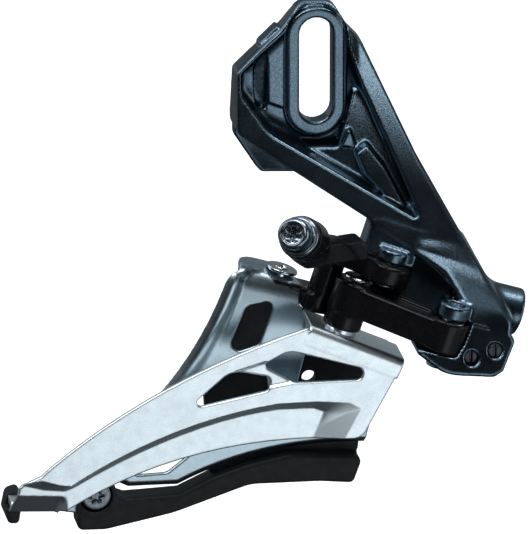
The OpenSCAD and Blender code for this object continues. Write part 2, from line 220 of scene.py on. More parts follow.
def satin_silver():
    p = Paint("outer_cage_metal", (0.80, 0.88, 0.93), 0.36, 1.0)
    speckle = p.noise(4200, 2)
    p.tint(speckle, 0.93, 1.06)
    p.vary("Roughness", p.noise(500, 2), 0.33, 0.37)
    p.bump(speckle, 0.000008, 0.3)
    return p.material


def brushed_silver():
    p = Paint("inner_cage_metal", (0.41, 0.51, 0.57), 0.3, 1.0)
    speckle = p.noise(4200, 2)
    p.tint(speckle, 0.93, 1.06)
    p.vary("Roughness", p.noise(600, 2), 0.28, 0.32)
    p.bump(speckle, 0.000008, 0.3)
    return p.material


def moulded_plastic():
    p = Paint("skid_plastic", (0.006, 0.007, 0.008), 0.5, 0.0, Specular_IOR_Level=0.2)
    grain = p.noise(3000, 2)
    p.tint(p.noise(500, 2), 0.75, 1.3)
    p.vary("Roughness", grain, 0.42, 0.58)
    p.bump(grain, 0.00002, 0.5)
    return p.material


def dull_steel():
    p = Paint("skid_screw_steel", (0.22, 0.25, 0.28), 0.34, 1.0)
    p.tint(p.noise(1300, 3), 0.7, 1.15)
    p.vary("Roughness", p.noise(1800, 3), 0.28, 0.46)
    p.bump(p.noise(2400, 2), 0.00001, 0.4)
    return p.material


MATERIALS = {
    "bracket_paint": metallic_paint(),
    "link_paint": gloss_black(),
    "pin_steel": plated_steel(),
    "spring_steel": drawn_wire(),
    "screw_steel": black_plating(),
    "bush_bronze": bronze(),
    "bolt_steel": dark_steel(),
    "outer_cage_metal": satin_silver(),
    "inner_cage_metal": brushed_silver(),
    "skid_plastic": moulded_plastic(),
    "skid_screw_steel": dull_steel(),
}
SLOT_OF = {part["node"]: part["material_slot"] for part in frame["record"]["subparts"]}
BODY_OF = {node: body for body, nodes in frame["record"]["behaviour"]["bodies"].items() for node in nodes}

# --------------------------------------------- solids as distance fields

MARGIN = 1.6  # how far round a shape its distances are worked out


def soft_max(a, b, soft):
    """The larger of two distances, with the edge between them rounded."""
    if not soft:
        return np.maximum(a, b)
    near = np.maximum(soft - np.abs(a - b), 0)
    return np.maximum(a, b) + near * near / (4 * soft)


def soft_min(a, b, soft):
    return -soft_max(-a, -b, soft)


def smooth(start, end, value):
    """0 before start, 1 after end, and a smooth step between them."""
    t = np.clip((value - start) / (end - start), 0, 1)
    return t * t * (3 - 2 * t)


def within(points, a, b):
    """Distance in a plane from (a, b) to a closed outline, negative inside it."""
    near, inside = np.float32(1e9), np.zeros(np.broadcast_shapes(a.shape, b.shape), bool)
    for (a0, b0), (a1, b1) in zip(points, [*points[1:], points[0]]):
        ea, eb, wa, wb = a1 - a0, b1 - b0, a - a0, b - b0
        t = np.clip((wa * ea + wb * eb) / max(ea * ea + eb * eb, 1e-9), 0, 1)
        near = np.minimum(near, (wa - ea * t) ** 2 + (wb - eb * t) ** 2)
        left = wa * eb < wb * ea
        inside ^= ((b0 <= b) & (b < b1) & left) | ((b1 <= b) & (b < b0) & ~left)
    return (np.where(inside, -1, 1) * np.sqrt(near)).astype(np.float32)


def beside(points, a, b):
    """Distance in a plane from (a, b) to an open line through points."""
    near = np.float32(1e9)
    for (a0, b0), (a1, b1) in zip(points, points[1:]):
        ea, eb, wa, wb = a1 - a0, b1 - b0, a - a0, b - b0
        t = np.clip((wa * ea + wb * eb) / max(ea * ea + eb * eb, 1e-9), 0, 1)
        near = np.minimum(near, (wa - ea * t) ** 2 + (wb - eb * t) ** 2)
    return np.sqrt(near).astype(np.float32)


def outline(points, steps=6):
    """A closed outline whose corners are rounded by each point's third value."""
    made = []
    for before, here, after in zip([points[-1], *points[:-1]], points, [*points[1:], points[0]]):
        c = np.array(here[:2], float)
        if len(here) < 3:
            made.append(tuple(c))
            continue
        s, e = (np.array(p[:2], float) - c for p in (before, after))
        s, e = s / np.linalg.norm(s), e / np.linalg.norm(e)
        half = math.acos(np.clip(s @ e, -1, 1)) / 2
        centre = c + (s + e) / np.linalg.norm(s + e) * here[2] / math.sin(half)
        first, last = (c + way * here[2] / math.tan(half) - centre for way in (s, e))
        turn = math.atan2(last[1], last[0]) - math.atan2(first[1], first[0])
        turn = (turn + math.pi) % (2 * math.pi) - math.pi
        for i in range(steps + 1):
            a = math.atan2(first[1], first[0]) + turn * i / steps
            made.append((centre[0] + here[2] * math.cos(a), centre[1] + here[2] * math.sin(a)))
    return made


def bend(a, b, c, steps=12):
    """Points of a smooth bend from a to c that leaves a towards b."""
    ts = [i / steps for i in range(steps + 1)]
    return [
        tuple((1 - t) ** 2 * p + 2 * t * (1 - t) * q + t * t * r for p, q, r in zip(a, b, c)) for t in ts
    ]


def stadium(w, l, steps=12):
    """A slot's outline, w wide and l high, round the origin."""
    r, up = w / 2, (l - w) / 2
    arc = [math.pi * i / steps for i in range(steps + 1)]
    top = [(r * math.cos(t), up + r * math.sin(t)) for t in arc]
    return top + [(-a, -b) for a, b in top]


class Shape:
    """A solid: its lowest and highest corners, and its signed distance at (x, y, z)."""

    def __init__(self, low, high, at):
        self.low, self.high, self.at = np.array(low, float), np.array(high, float), at

    def _change(self, other, low, high, mix):
        def at(x, y, z):
            field = np.broadcast_to(self.at(x, y, z), (x.size, y.size, z.size)).astype(np.float32)
            cut = []
            for axis, line in enumerate((x, y, z)):
                inside = np.nonzero(
                    (line.ravel() > other.low[axis] - MARGIN) & (line.ravel() < other.high[axis] + MARGIN)
                )[0]
                if not len(inside):
                    return field
                cut.append(slice(inside[0], inside[-1] + 1))
            i, j, k = cut
            field[i, j, k] = mix(field[i, j, k], other.at(x[i], y[:, j], z[:, :, k]))
            return field

        return Shape(low, high, at)

    def join(self, other, soft=0.4):
        low, high = np.minimum(self.low, other.low), np.maximum(self.high, other.high)
        return self._change(other, low, high, lambda a, b: soft_min(a, b, soft))

    def cut(self, other, soft=0.4):
        return self._change(other, self.low, self.high, lambda a, b: soft_max(a, -b, soft))

    def keep(self, other, soft=0.4):
        """What lies inside both."""

        def at(x, y, z):
            return soft_max(self.at(x, y, z), other.at(x, y, z), soft)

        return Shape(np.maximum(self.low, other.low), np.minimum(self.high, other.high), at)


def corners(points, low, high, axis):
    """The box of an outline in a plane across an axis, between low and high."""
    flat = np.array([p[:2] for p in points], float)
    return tuple(np.insert(end, axis, value) for end, value in ((flat.min(0), low), (flat.max(0), high)))


def upright(points, y_low, y_high, soft=0.5):
    """An outline in x and z, solid from y_low to y_high, with its edges rounded."""
    middle, half = (y_low + y_high) / 2, (y_high - y_low) / 2

    def at(x, y, z):
        return soft_max(within(points, x, z), np.abs(y - middle) - half, soft)

    return Shape(*corners(points, y_low, y_high, 1), at)


def rod(a, b, r, soft=0.4):
    """A round bar between two points."""
    a, b = np.array(a, float), np.array(b, float)
    long = np.linalg.norm(b - a)
    way = (b - a) / long
    reach = r * np.sqrt(np.maximum(1 - way**2, 0))

    def at(x, y, z):
        dx, dy, dz = x - a[0], y - a[1], z - a[2]
        t = dx * way[0] + dy * way[1] + dz * way[2]
        side = np.sqrt(np.maximum(dx * dx + dy * dy + dz * dz - t * t, 0))
        return soft_max(side - r, np.abs(t - long / 2) - long / 2, soft).astype(np.float32)

    return Shape(np.minimum(a, b) - reach, np.maximum(a, b) + reach, at)


def wholly(at):
    """A shape without a box of its own, to keep or to cut by."""
    return Shape([-999] * 3, [999] * 3, at)


CORNERS = np.array([[i, j, k] for i in (0, 1) for j in (0, 1) for k in (0, 1)])


def sample(field, p):
    """The field between its grid's points."""
    base = np.clip(np.floor(p).astype(int), 0, np.array(field.shape) - 2)
    part = p - base
    total = 0
    for c in CORNERS:
        weight = np.prod(np.where(c, part, 1 - part), axis=1)
        total = total + weight * field[tuple((base + c).T)]
    return total


def skin(field):
    """Points, in grid steps, and four-sided faces of the surface where the field is 0."""
    inside = field < 0
    size = np.array(field.shape) - 1
    count = sum(
        inside[c[0] : c[0] + size[0], c[1] : c[1] + size[1], c[2] : c[2] + size[2]].astype(np.int8)
        for c in CORNERS
    )
    cells = np.argwhere((count > 0) & (count < 8))
    values = np.stack([field[tuple((cells + c).T)] for c in CORNERS], 1)
    total, hits = np.zeros((len(cells), 3)), np.zeros((len(cells), 1))
    for a in range(8):
        for b in range(a + 1, 8):
            if np.abs(CORNERS[a] - CORNERS[b]).sum() != 1:
                continue  # not the two ends of a cell's edge
            va, vb = values[:, a], values[:, b]
            cross = (va < 0) != (vb < 0)
            t = np.where(cross, va / np.where(cross, va - vb, 1), 0)[:, None]
            total += cross[:, None] * (CORNERS[a] + t * (CORNERS[b] - CORNERS[a]))
            hits += cross[:, None]
    points = cells + total / hits
    for _ in range(2):
        slope = np.stack(
            [sample(field, points + e) - sample(field, points - e) for e in np.eye(3) * 0.5], 1
        )
        move = sample(field, points)[:, None] * slope / np.maximum((slope**2).sum(1, keepdims=True), 1e-3)
        points = points - np.clip(move, -0.5, 0.5)
    number = np.full(size, -1, np.int32)
    number[tuple(cells.T)] = np.arange(len(cells))
    quads = []
    for axis in range(3):
        ahead = np.eye(3, dtype=int)[axis]
        first, second = (np.eye(3, dtype=int)[(axis + n) % 3] for n in (1, 2))
        here = inside[tuple(slice(1 - a, s) for a, s in zip(ahead, size))]
        there = inside[tuple(slice(1, s + a) for a, s in zip(ahead, size))]
        at = np.argwhere(here != there) + 1 - ahead
        offsets = (0 * first, first, first + second, second)
        ring = np.stack([number[tuple((at - offset).T)] for offset in offsets], 1)
        flip = ~inside[tuple(at.T)]
        ring[flip] = ring[flip][:, ::-1]
        quads.append(ring)
    return points, np.concatenate(quads)


def finish_piece(piece, node):
    """Gives a piece its node's material and body, and hides the node."""
    piece.data.materials.clear()
    piece.data.materials.append(MATERIALS[SLOT_OF[node]])
    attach(piece, BODY_OF[node])
    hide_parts(node)


def sculpt(name, node, shape, step, place=None):
    """Makes a shape into a piece that stands for a CAD node."""
    low, high = shape.low - 3 * step, shape.high + 3 * step
    x, y, z = (np.arange(a, b + step, step, dtype=np.float32) for a, b in zip(low, high))
    field = shape.at(x[:, None, None], y[None, :, None], z[None, None, :])
    field = np.ascontiguousarray(np.broadcast_to(field, (x.size, y.size, z.size)))
    points, quads = skin(field)
    points = points * step + low
    if place is not None:
        points = points @ place[0].T + place[1]
    mesh = bpy.data.meshes.new(name)
    mesh.from_pydata((points * MM).tolist(), [], quads.tolist())
    mesh.shade_smooth()
    piece = link(bpy.data.objects.new(name, mesh))
    finish_piece(piece, node)


# ----------------------------------------------------------- linkage frame

# u runs forward and down, v to the left side, h up the pivot pins
LEAN = math.radians(18)
PIVOT_H = -40.8
C, S = math.cos(LEAN), math.sin(LEAN)
OUTER_FRONT = (36.7, -32.3)
OUTER_REAR = (17.7, -22.0)
INNER_FRONT = (23.6, -21.6)
INNER_REAR = (4.6, -11.3)


def at_link(u, v, h):
    """World place of a point in linkage coordinates."""
    return (C * u + S * (h + PIVOT_H), v, -S * u + C * (h + PIVOT_H))


def link_outline(points):
    """An outline in u and h, as one in x and z."""
    made = []
    for u, h in outline(points):
        x, _, z = at_link(u, 0, h)
        made.append((x, z))
    return made


def link_u(x, z):
    return C * x - S * z


def link_h(x, z):
    return S * x + C * z - PIVOT_H


def pin(at, low, high, r, soft):
    """A round bar along a pivot pin."""
    return rod(at_link(*at, low), at_link(*at, high), r, soft)


def link_plate(points, low, high, soft=0.5):
    """An outline in u and v, solid from low to high along the pins."""
    middle, half = (low + high) / 2, (high - low) / 2
    flat = np.array([p[:2] for p in points])
    ends = [
        at_link(u, v, h)
        for u in (flat[:, 0].min(), flat[:, 0].max())
        for v in (flat[:, 1].min(), flat[:, 1].max())
        for h in (low, high)
    ]

    def at(x, y, z):
        return soft_max(within(points, link_u(x, z), y), np.abs(link_h(x, z) - middle) - half, soft)

    return Shape(np.min(ends, 0), np.max(ends, 0), at)


# ---------------------------------------------------------------- bracket

BRACKET_PIN, CAGE_PIN, BUSH_WALL = 2.0, 1.7, 0.75  # the pins' radii, and their bushes'
PLATE_T, PAD_T = 3.0, 4.4
SLOT, PAD, CHANNEL, PAD_DROP = (7, 23), (12.3, 28.3), (13.2, 29.2), 0.35
BEAM_OUT, BEAM_T, WEB_BACK = 9.2, 8.5, 6.8
BEAM_FALL, BEAM_TURN = math.radians(17.8), math.radians(9.5)
# The way straight back through the beams, and where, which way and how fast the front beam twists
BEAM_WAY = (
    math.sin(BEAM_TURN) * math.cos(BEAM_FALL),
    math.cos(BEAM_TURN) * math.cos(BEAM_FALL),
    -math.sin(BEAM_FALL),
)
TWIST_AT, TWIST_WAY, TWIST = (16, -22), (0.35, 0.94), 0.0054
STOP_R, CASING_R, CABLE_R = 5, 2.6, 1.3
CASING_V, CASING_H = -24, 6.3
SCREW_R, SCREW_BORE_R = 1.5, 1.54
LOW_SCREW, HIGH_SCREW = (27.3, -54.4), (32.4, -53.4)
EAR_LOW = 9.7  # where the inner link's ear starts up its pin
DEEP = -50  # a y further out than any of the bracket

# The bracket's outlines in x and z; a third value rounds the corner
BRACKET_EDGE = outline(
    [(9.6, 6.2, 3), (6.9, 9.0, 2), (3.6, 14.6, 3.5), (-3.2, 14.8, 3), (-7.6, 9.5), (-12.0, 5.7)]
    + [(-17.2, 0.9, 1.5), (-17.9, -11.2, 2), (-8.2, -17.7), (17.0, -33.9, 8), (25.3, -42.2, 4)]
    + [(31.0, -47.0), (34.5, -45.0), (29.5, -35.0), (19.6, -16.4, 30)]
)
POCKET = outline(
    [(-16.2, 0.6, 1), (-16.4, -3.4, 4), (-11.0, -11.2, 8), (19.5, -28.9, 0.8), (8.5, -1.5, 20)]
    + [(5.6, 9.4, 2), (2.8, 13.2, 3), (-2.6, 13.2, 3)]
)
FLOOR = [(-15.6, 0.2), (-11.2, 5.0), (-7.8, 8.4), (-3.2, 13.4), (3.0, 13.4), (6.6, 8.0), (8.2, 4.0)]
FLOOR += [(13.0, -12.0), (4.0, -22.2), (-8.2, -16.2), (-15.6, -10.6)]
WEB = [(-20, -16), (4, -16), (8, -5), (30, -5), (30, -50), (-20, -50)]
PANEL = outline([(-10.2, 4.6, 0.4), (-6.0, 8.4), (-6.0, -8.6), (-10.2, -6.8, 0.6)])
GROOVE = outline([(-13.0, 4.4, 0.5), (-10.4, 7.0, 0.5), (-10.4, -9.4, 0.8), (-13.0, -7.4, 0.8)])
HEEL = outline(
    [(-17.2, -8.0), (-17.2, -13.6, 1), (-12.6, -20.9, 2), (-11.4, -22.3, 1), (4.0, -23.2), (0, -14)]
)
LEDGE = [(-6.4, 8.2), (-7.6, 9.5), (-8.2, 10.0), (-12.0, 6.4), (-12.0, 5.7), (-10.8, 4.2)]
RIB = outline(
    [(7.2, -16.4, 0.8), (9.6, -14.6, 0.8), (13.0, -19.0, 1), (17.6, -28.4), (15.6, -28.0)]
    + [(8.7, -20.4, 1)]
)
WEDGE = outline([(6.4, -11.6, 0.4), (8.0, -16.2, 0.4), (4.4, -15.7, 0.4)])
FIN = outline(
    [(11.0, -35.0), (22.0, -35.0), (30.0, -44.0), (29.0, -54.0), (24.0, -53.2, 2)]
    + [(8.8, -45.4, 2), (8.0, -42.4, 1), (12.6, -41.0)]
)


def beam_depth(x, y, z):
    """How far a point lies behind the front of the beams, the front one of which twists forward."""
    up = np.maximum(TWIST_WAY[0] * (x - TWIST_AT[0]) + TWIST_WAY[1] * (z - TWIST_AT[1]), 0)
    turned = TWIST * up * up * smooth(3, 9, x)
    return BEAM_WAY[0] * x + BEAM_WAY[1] * (y + BEAM_OUT) + BEAM_WAY[2] * z - turned


def behind_beams(near, far, soft=0.6):
    """Everything between two depths behind the beams' front."""

    def at(x, y, z):
        depth = beam_depth(x, y, z)
        return soft_max(near - depth, depth - far, soft)

    return wholly(at)


def mounting_plate():
    """The plate's floor with its raised panel and the sloping groove beside that."""
    shape = upright(FLOOR, -PLATE_T, -0.4, 0.5).join(upright(PANEL, -3.8, -1, 0.25), 0.15)
    slope = wholly(lambda x, y, z: y + 1.9 + 0.21 * (z + 2) + 0 * x)
    return shape.cut(upright(GROOVE, -9, 1, 0.2).keep(slope, 0.2), 0.3)


def add_beams(shape):
    """The two beams and the web between them, cut back to the crown's chamfer."""
    beams = upright(BRACKET_EDGE, -45, 0, 0).cut(upright(POCKET, -46, 1, 0), 0.3)
    web = upright(BRACKET_EDGE, -45, 0, 0).keep(upright(WEB, -46, 1, 0))
    shape = shape.join(beams.keep(behind_beams(-3, BEAM_T), 0.3), 3.0)
    shape = shape.join(web.keep(behind_beams(WEB_BACK, BEAM_T), 0.5), 1.0)
    shape = shape.keep(behind_beams(0, 99, 0), 0.5).keep(upright(BRACKET_EDGE, DEEP, 0, 0), 0.5)
    return shape.keep(wholly(lambda x, y, z: 0.7 * (z - y - 16.9) + 0 * x), 0.3)


def add_ears(shape):
    """The pivot ears with the bosses that carry the pins."""
    ear = outline([(17.2, -24.4, 1), (23.6, -24.4), (23.6, -15.0), (17.2, -15.0, 1)])
    ears = pin(INNER_FRONT, EAR_LOW, 17.5, 4.9, 0.6).join(link_plate(ear, EAR_LOW, 16.7), 0.8)
    shape = shape.join(ears.keep(behind_beams(0.3, 99), 0.8), 0.8)
    shape = shape.join(pin(INNER_FRONT, EAR_LOW, 12.4, 3.1, 0.6), 0.8)
    return shape.join(pin(OUTER_FRONT, 4.1, 7.2, 3.5, 0.5), 0.8)


def add_pad(shape):
    """The raised pad round the slot, in its fine channel."""
    pad, channel = ([(a, b - PAD_DROP) for a, b in stadium(*size)] for size in (PAD, CHANNEL))
    shape = shape.cut(upright(channel, -20, -2.6, 0.2), 0.2)
    shape = shape.join(upright(pad, -PAD_T, -0.2, 0.5), 0)
    shape = shape.keep(wholly(lambda x, y, z: y + 0 * x + 0 * z), 0.4)
    return shape.cut(upright(stadium(*SLOT), -12, 2, 0), 0.5)


def bore_bracket(shape):
    """The bores for the pins, the cable with its casing, and the limit screws."""
    shape = shape.cut(pin(OUTER_FRONT, -12, 8, BRACKET_PIN, 0), 0.2)
    shape = shape.cut(pin(INNER_FRONT, 5, 12, BRACKET_PIN, 0), 0.2)
    mouth = at_link(54, CASING_V, CASING_H)
    shape = shape.cut(rod(at_link(44.6, CASING_V, CASING_H), mouth, CASING_R, 0.2), 0.4)
    shape = shape.cut(rod(at_link(25, CASING_V, CASING_H), mouth, CABLE_R, 0), 0.2)
    for x, z in (LOW_SCREW, HIGH_SCREW):
        shape = shape.cut(rod((x, -30, z), (x, DEEP, z), SCREW_BORE_R, 0), 0.4)
    return shape


def make_bracket():
    shape = add_beams(mounting_plate())
    shape = shape.join(upright(HEEL, -PLATE_T, 0, 0.5), 0.3)
    shape = shape.join(upright(LEDGE, -3.9, 0, 0.3), 0.3)
    ribs = upright(RIB, -45, 0, 0).keep(behind_beams(WEB_BACK - 3.2, BEAM_T), 0.5)
    shape = shape.join(ribs, 0.5).join(upright(WEDGE, -8.6, -1, 0.3))
    shape = add_ears(shape.join(make_yoke(), 1.2))
    ends = (at_link(u, CASING_V, CASING_H) for u in (38.5, 52.6))
    shape = add_pad(shape.join(rod(*ends, STOP_R, 0.7), 1.6))
    shape = shape.cut(link_room(), 0.3)
    shape = bore_bracket(shape.join(upright(FIN, DEEP, 0, 0).keep(behind_beams(9.4, 11.4), 0.5)))
    shape.low, shape.high = np.array([-18.6, -39.0, -61.0]), np.array([44.0, 0.6, 15.6])
    sculpt("bracket_casting", "mount_bracket", shape, 0.32)


def make_yoke():
    """The block between the beams' lower ends that holds the limit screws."""
    edge = [(31.0, -2.9), (31.0, -4.3, 1), (38.2, -7.1, 8), (48.6, -5.2, 2), (50.3, -3.6, 1)]
    edge += [(51.4, 2.6, 0.8), (50.0, 4.0, 0.6), (49.8, 6.0, 2), (42.9, 12.8), (38.0, 17.5)]
    edge += [(28.0, 15.5), (27.0, 13.2, 0.6), (34.0, 11.2, 3), (39.0, 6.8, 3), (40.4, 4.1)]
    edge += [(33.4, 4.1)]
    side = outline(
        [(-22.0, 19.0), (-27.0, 13.0, 4), (-32.2, 7.0, 5), (-37.6, -6.6, 0.8), (-36.8, -7.5), (-27.5, -7.5)]
        + [(-27.5, -1.0, 1), (-19.0, 2.0, 2), (-16.5, 10.0), (-15.0, 19.0)]
    )
    profile = wholly(lambda x, y, z: within(side, y, link_h(x, z)))
    swell = wholly(lambda x, y, z: -beam_depth(x, y, z) - 0.5 * np.maximum(14.2 - link_h(x, z), 0))
    return upright(link_outline(edge), DEEP, -10, 0).keep(profile, 1.2).keep(swell, 1.5)


def link_room():
    """Room for the outer link and its heel to swing between the ears."""
    low, high = -3.3, 4.1
    room = link_plate([(20, -50), (39, -50), (39, -5), (20, -5)], low, high, 0.1)
    room = room.join(pin(OUTER_FRONT, low, high, 4.5, 0), 0)
    side = link_plate([(30, -33.2), (50, -33.2), (50, -13), (30, -13)], low, high, 0)
    return room.join(pin(OUTER_FRONT, low, high, 8.3, 0).keep(side, 0), 0)


# ------------------------------------------------------------------ links

HEEL_TURN = math.radians(25)
SPRING_ROOM_R = 3.7


def make_outer_link():
    bar = link_stadium(OUTER_FRONT, OUTER_REAR, 3.9, 4.0)
    shape = link_plate(bar, -3.0, 3.4, 1.0)
    for end in (OUTER_REAR, OUTER_FRONT):
        shape = shape.join(pin(end, -3.0, 3.8, 4.2, 0.6), 0.8)
    a, b = np.array(OUTER_FRONT), np.array(OUTER_REAR)
    hollow = link_stadium(a + (b - a) * 0.26, a + (b - a) * 0.74, 2.0, 2.0)
    shape = shape.cut(link_plate(hollow, 2.6, 6, 0.3), 0.6)
    c, s = math.cos(HEEL_TURN), math.sin(HEEL_TURN)
    corners_from_pin = ((0, -1.9), (7.6, -1.9), (7.6, 1.9), (0, 1.9))
    heel = [(a[0] + c * p - s * q, a[1] + s * p + c * q) for p, q in corners_from_pin]
    shape = shape.join(link_plate(heel, -3.0, 1.0), 0.8)
    shape = shape.cut(pin(OUTER_FRONT, -9, 9, BRACKET_PIN + BUSH_WALL, 0), 0.2)
    shape = shape.cut(pin(OUTER_FRONT, 0.9, 9, SPRING_ROOM_R, 0), 0.2)
    shape = shape.cut(pin(OUTER_REAR, -9, 9, CAGE_PIN + BUSH_WALL, 0), 0.2)
    skirt = pin(OUTER_REAR, -6.5, -2.0, 4.1, 0.4).cut(pin(OUTER_REAR, -9, -3.2, 3.6, 0), 0.2)
    sculpt("outer_link_casting", "outer_link", shape.join(skirt, 0.3), 0.2)


def link_stadium(a, b, r_a, r_b, steps=14):
    """The outline in u and v of a bar with round ends."""
    a, b = np.array(a, float), np.array(b, float)
    way = math.atan2(b[1] - a[1], b[0] - a[0])
    turn = [math.pi * i / steps - math.pi / 2 for i in range(steps + 1)]
    ends = [(b[0] + r_b * math.cos(way + t), b[1] + r_b * math.sin(way + t)) for t in turn]
    return ends + [(a[0] - r_a * math.cos(way + t), a[1] - r_a * math.sin(way + t)) for t in turn]


BOLT_AT = np.array([-6.4, -27.6, -29.0])
BOLT_TURN = Matrix.Rotation(math.radians(-116.6), 3, "Z") @ Matrix.Rotation(math.radians(63.3), 3, "Y")
BOLT_WAY = np.array(BOLT_TURN @ Vector((0, 0, 1)))
# Where in u and v the cable arm ends, and where the inner link drops to the cage
ARM_END = (2.9, -27.6)
DROP = (13.0, -15.8)


def arm_shape(points, half, soft):
    """A slab along the cable arm: its outline runs back from the front pivot and up the pin."""
    back = np.array(ARM_END) - np.array(INNER_FRONT)
    back = back / np.linalg.norm(back)
    low = np.min([at_link(INNER_FRONT[0] - 27, v, h) for v in (-30, -15) for h in (5, 16)], 0)
    high = np.max([at_link(INNER_FRONT[0] + 3, v, h) for v in (-30, -15) for h in (5, 16)], 0)

    def at(x, y, z):
        u, v, h = link_u(x, z) - INNER_FRONT[0], y - INNER_FRONT[1], link_h(x, z)
        along, across = u * back[0] + v * back[1], v * back[0] - u * back[1]
        return soft_max(within(points, along, h), np.abs(across) - half, soft)

    return Shape(low, high, at)


def make_inner_link():
    """The link over the cage, its drop and knee down to the rear pivot, and the cable arm."""
    shape = link_plate(link_stadium(INNER_FRONT, DROP, 3.6, 3.4), 5.3, 9.4, 0.8)
    shape = shape.join(pin(INNER_FRONT, 5.3, 9.4, 4.9, 0.7), 1.2)
    shape = shape.join(pin(DROP, -6.2, 9.2, 3.0, 0.7), 1.0)
    knee = [(7.0, -14.5), (9.4, -14.8, 0.8), (9.8, -19.0, 2), (15.4, -17.6, 2), (16.2, -13.0, 2.5)]
    knee += [(12.6, -8.4, 3), (7.0, -8.4)]
    shape = shape.join(link_plate(outline(knee), -6.2, -2.7), 0.8)
    ear = [(1.3, -14.4, 3), (9.0, -14.6, 0.8), (9.0, -8.8, 0.8), (1.1, -8.1, 3)]
    shape = shape.join(link_plate(outline(ear), -10.0, -2.7, 0.6), 0.5)
    side = [(0, 5.5), (19, 5.2, 3), (24, 7.0, 3), (24.5, 14.8, 2), (14, 15.4, 2), (8.4, 13.4, 2)]
    side = outline(side + [(6.6, 9.4, 1), (0, 9.3)])
    shape = shape.join(arm_shape(side, 2.9, 0.9), 0.8)
    panel = [(2, 6.7, 0.8), (17, 6.7, 1.5), (18, 11.6, 1.5), (13, 12.6, 2), (8, 8.6, 1.5), (2, 8.4, 0.8)]
    recess = arm_shape(outline(panel), 9, 0.3).cut(arm_shape(side, 2.3, 0), 0)
    shape = shape.cut(recess)
    boss = rod(BOLT_AT - 3 * BOLT_WAY, BOLT_AT + 4.5 * BOLT_WAY, 4.6, 0.6)
    shape = shape.join(boss, 1.2)
    shape = shape.cut(pin(INNER_FRONT, 0, 15, BRACKET_PIN + BUSH_WALL, 0), 0.2)
    shape = shape.cut(pin(INNER_REAR, -12, 3, CAGE_PIN + BUSH_WALL, 0), 0.2)
    sculpt("inner_link_casting", "inner_link", shape, 0.2)


# ------------------------------------------------------------------- cage

# The sheet's thickness, and how far out from the frame the front of each plate is
SHEET = 1.2
OUTER_OUT, INNER_OUT = 27.0, 16.4
# The fall of the outer plate's top flange, and the rear end of its fold in x and z
SLOPE = math.radians(24.6)
FOLD = np.array([-4.9, -48.3])


def on_flange(d, t):
    """Point in the sheet of the outer plate's top flange, d along it and t below its upper face."""
    return (
        FOLD[0] + d * math.cos(SLOPE) - t * math.sin(SLOPE),
        FOLD[1] - d * math.sin(SLOPE) - t * math.cos(SLOPE),
    )


def above_flange(x, z):
    """Height over the outer plate's top flange, square to it."""
    return math.sin(SLOPE) * (x - FOLD[0]) + math.cos(SLOPE) * (z - FOLD[1])


def top_flange():
    """The outer plate's upright front, folded back over its sloping top."""
    radius, depth, long = 0.9, 4.4, 22

    def at(x, y, z):
        above = above_flange(x, z)
        along = math.cos(SLOPE) * (x - FOLD[0]) - math.sin(SLOPE) * (z - FOLD[1])
        shell = np.abs(soft_max(above, -OUTER_OUT - y, radius * 2) + SHEET / 2) - SHEET / 2
        across = np.abs(along - long / 2) - long / 2
        side = soft_max(soft_max(across, -above - depth, 0.4), y + INNER_OUT, 0.4)
        return soft_max(shell, side, 0.35)

    ends = [on_flange(d, t) for d in (0, long) for t in (0, depth)]
    return Shape(*corners(ends, -OUTER_OUT, -INNER_OUT, 1), at)


# The two lines between which the outer plate steps back to its lower panel
STEP_TOP = [(-75, -79.2), (-65.0, -79.6), (-62.0, -79.1), (-58.2, -80.4), (-55.7, -80.8)]
STEP_TOP += bend((-54.2, -79.8), (-34.0, -67.6), (-12.0, -65.2), 10)
STEP_TOP += [(-3.2, -65.3), (3.2, -65.9), (5.7, -67.4)]
STEP_LOW = [(-75, -80.6), (-65.2, -80.4), (-61.4, -81.6), (-56.9, -82.1)]
STEP_LOW += bend((-55.0, -81.3), (-31.0, -68.2), (-11.7, -66.8), 10) + [(-4.3, -67.0), (-2.1, -68.0)]
PANEL_DEEP, WEB_DEEP, TAIL_LEAN = 1.25, 0.5, 0.95


def outer_recess(x, z):
    """How far the outer plate is pressed in at its lower panel, between its windows and at its tail."""
    top = [*STEP_TOP, (2.1, -74.1), (1.2, -80.0)]
    low = [*STEP_LOW, (-4.3, -73.2), (-5.0, -80.0)]
    from_top, from_low = beside(top, x, z), beside(low, x, z)
    share = from_top / np.maximum(from_top + from_low, 1e-6)
    share = np.where(within([*top, (-75, -99)], x, z) > 0, 0, share)
    share = np.where(within([*low, (-75, -99)], x, z) < 0, 1, share)
    web = within([(-21.0, -57.5), (-14.6, -55.7), (-7.4, -60.6), (-13.8, -61.5)], x, z)
    tail = np.maximum(-(z + 83.0 + 0.08 * (x + 62)), 0) * (1 - smooth(-58.6, -56.4, x))
    return PANEL_DEEP * share + WEB_DEEP * smooth(0.3, -0.5, web) + TAIL_LEAN * tail


def outer_sheet(edge, holes):
    """The outer plate's upright sheet, with what is pressed into it."""

    def at(x, y, z):
        side = within(edge, x, z)
        for hole in holes:
            side = soft_max(side, -within(hole, x, z), 0.3)
        middle = -OUTER_OUT + SHEET / 2 + outer_recess(x, z)
        return soft_max(side, np.abs(y - middle) - SHEET / 2, 0.35)

    return Shape(*corners(edge, -OUTER_OUT - 0.2, -OUTER_OUT + SHEET + 4, 1), at)


